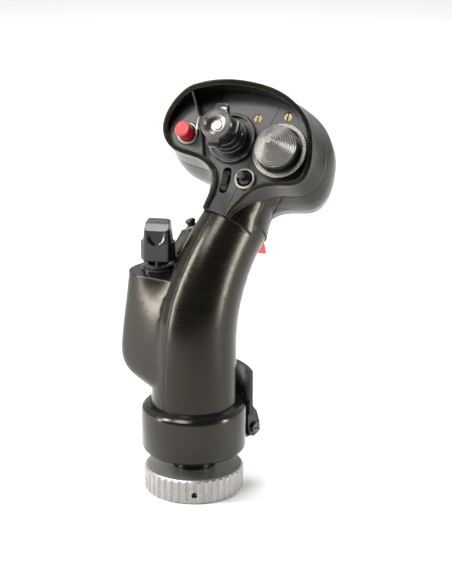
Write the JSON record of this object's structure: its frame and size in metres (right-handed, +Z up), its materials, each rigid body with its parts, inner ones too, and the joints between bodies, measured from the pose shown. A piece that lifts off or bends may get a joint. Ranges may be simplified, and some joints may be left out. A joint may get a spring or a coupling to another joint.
{
  "type": "flight stick grip",
  "caption": "Right-hand flight-stick grip with an angled control head, side pod, trigger, paddle lever and a threaded lock ring.",
  "frame": {"origin": "centre of the lock ring's bottom face, on its thread axis", "axes": "+Z up along the thread axis, +Y forward away from the pilot, +X to the pilot's right"},
  "size_m": [0.0852, 0.1013, 0.1955],
  "materials": {
    "bare_aluminium": "turned and lightly brushed",
    "dark_steel": "blackened steel",
    "black_anodised": "satin black",
    "satin_black_paint": "satin black paint with a faint brushed look",
    "face_plate_grey": "dark grey, fine matt",
    "brass_screw": "dull brass",
    "connector_metal": "plated",
    "insulator_black": "matt",
    "switch_metal": "satin",
    "black_metal_hat": "semi-gloss black",
    "grooved_grey": "turned grooves, worn satin",
    "pale_metal": "satin with engraved ticks",
    "black_plastic": "satin moulded plastic",
    "red_plastic": "smooth moulded plastic",
    "trigger_red": "satin red",
    "component_black": "moulded",
    "board_green": "solder mask"
  },
  "bodies": {
    "grip": {"base_spigot": "black_anodised", "connector_shell": "connector_metal", "connector_insulator": "insulator_black", "connector_pins": "connector_metal", "collar_right": "black_anodised", "collar_left": "black_anodised", "collar_screws": "dark_steel", "grip_shell_right": "satin_black_paint", "grip_shell_left": "satin_black_paint", "shell_screws": "dark_steel", "head_rear_casing": "satin_black_paint", "head_cover_right": "satin_black_paint", "head_cover_left": "satin_black_paint", "face_plate_right": "face_plate_grey", "face_plate_left": "face_plate_grey", "red_button_panel": "face_plate_grey", "face_plate_screws": "brass_screw", "castle_switch_can": "switch_metal", "castle_base_ring": "black_metal_hat", "trim_switch_can": "switch_metal", "trim_collar": "black_metal_hat", "trim_bezel": "pale_metal", "pod_hat_can": "switch_metal", "pod_hat_nut": "black_metal_hat", "red_button_bezel": "pale_metal", "red_button_spring": "dark_steel", "red_button_switch": "component_black", "small_button_bezel": "pale_metal", "small_button_switch": "component_black", "thumbwheel_bracket": "switch_metal", "trigger_bracket": "switch_metal", "trigger_pin": "dark_steel", "trigger_microswitch": "component_black", "paddle_bracket": "black_anodised", "fin_housing": "satin_black_paint", "fin_button_collar": "pale_metal", "board_bracket": "switch_metal", "circuit_board": "board_green", "board_chips": "component_black"},
    "ring_washer": {"lock_ring_washer": "dark_steel"},
    "ring": {"lock_ring": "bare_aluminium", "lock_ring_set_screws": "dark_steel"},
    "castle_ring": {"castle_gimbal": "switch_metal"},
    "castle_tilter": {"castle_rocker": "switch_metal"},
    "castle_hat": {"castle_stem": "switch_metal", "castle_skirts": "black_metal_hat", "castle_cap": "black_metal_hat"},
    "trim_ring": {"trim_gimbal": "switch_metal"},
    "trim_hat": {"trim_rocker": "switch_metal", "trim_cap": "grooved_grey"},
    "pod_ring": {"pod_hat_gimbal": "switch_metal"},
    "pod_hat": {"pod_hat_rocker": "switch_metal", "pod_hat_knob": "black_plastic"},
    "red_push": {"red_button": "red_plastic"},
    "small_push": {"small_button": "black_plastic"},
    "wheel": {"thumbwheel": "black_plastic"},
    "trigger_lever": {"trigger": "trigger_red"},
    "paddle_lever": {"paddle": "black_plastic", "paddle_pin": "dark_steel"},
    "fin_push": {"fin_button": "black_plastic"}
  },
  "joints": [
    {"name": "lock_ring_lift", "type": "slide", "parent": "grip", "child": "ring_washer", "axis": [0, 0, 1], "range_m": [0, 0.006]},
    {"name": "lock_ring_spin", "type": "hinge", "parent": "ring_washer", "child": "ring", "pos_m": [0, 0, 0.006], "axis": [0, 0, 1], "continuous": true},
    {"name": "castle_tilt_up_down", "type": "hinge", "parent": "grip", "child": "castle_ring", "pos_m": [-0.00651, 0.03803, 0.16323], "axis": [0.9511, 0.309, 0], "range_deg": [-6, 6], "stiffness_Nm_per_rad": 0.3},
    {"name": "castle_tilt_side", "type": "hinge", "parent": "castle_ring", "child": "castle_tilter", "pos_m": [-0.00651, 0.03803, 0.16323], "axis": [-0.1683, 0.518, 0.8387], "range_deg": [-6, 6], "stiffness_Nm_per_rad": 0.3},
    {"name": "castle_push", "type": "slide", "parent": "castle_tilter", "child": "castle_hat", "axis": [-0.2592, 0.7976, -0.5446], "range_m": [0, 0.001], "stiffness_N_per_m": 1500, "springref_m": -0.0006},
    {"name": "trim_tilt_up_down", "type": "hinge", "parent": "grip", "child": "trim_ring", "pos_m": [0.01986, 0.04425, 0.15979], "axis": [0.9511, 0.309, 0], "range_deg": [-6, 6], "stiffness_Nm_per_rad": 0.3},
    {"name": "trim_tilt_side", "type": "hinge", "parent": "trim_ring", "child": "trim_hat", "pos_m": [0.01986, 0.04425, 0.15979], "axis": [-0.1683, 0.518, 0.8387], "range_deg": [-6, 6], "stiffness_Nm_per_rad": 0.3},
    {"name": "pod_hat_tilt_fore_aft", "type": "hinge", "parent": "grip", "child": "pod_ring", "pos_m": [-0.0252, 0.0022, 0.0976], "axis": [1, 0, 0], "range_deg": [-7, 7], "stiffness_Nm_per_rad": 0.4},
    {"name": "pod_hat_tilt_side", "type": "hinge", "parent": "pod_ring", "child": "pod_hat", "pos_m": [-0.0252, 0.0022, 0.0976], "axis": [0, 1, 0], "range_deg": [-7, 7], "stiffness_Nm_per_rad": 0.4},
    {"name": "red_button_push", "type": "slide", "parent": "grip", "child": "red_push", "axis": [-0.2592, 0.7976, -0.5446], "range_m": [0, 0.002], "stiffness_N_per_m": 1200, "springref_m": -0.0006, "deforming": ["red_button_spring"]},
    {"name": "small_button_push", "type": "slide", "parent": "grip", "child": "small_push", "axis": [-0.2592, 0.7976, -0.5446], "range_m": [0, 0.001], "stiffness_N_per_m": 1200, "springref_m": -0.0006},
    {"name": "thumbwheel_roll", "type": "hinge", "parent": "grip", "child": "wheel", "pos_m": [-0.00113, 0.02633, 0.14685], "axis": [0.9511, 0.309, 0], "range_deg": [-135, 135]},
    {"name": "trigger_pull", "type": "hinge", "parent": "grip", "child": "trigger_lever", "pos_m": [0, 0.0424, 0.1252], "axis": [-1, 0, 0], "range_deg": [0, 13], "stiffness_Nm_per_rad": 0.25, "springref_deg": -8.59},
    {"name": "paddle_squeeze", "type": "hinge", "parent": "grip", "child": "paddle_lever", "pos_m": [0, 0.0296, 0.025], "axis": [1, 0, 0], "range_deg": [0, 6], "stiffness_Nm_per_rad": 1.2, "springref_deg": -3.44},
    {"name": "fin_button_push", "type": "slide", "parent": "grip", "child": "fin_push", "axis": [0.2812, 0.2062, -0.9372], "range_m": [0, 0.001], "stiffness_N_per_m": 1000, "springref_m": -0.0006}
  ]
}
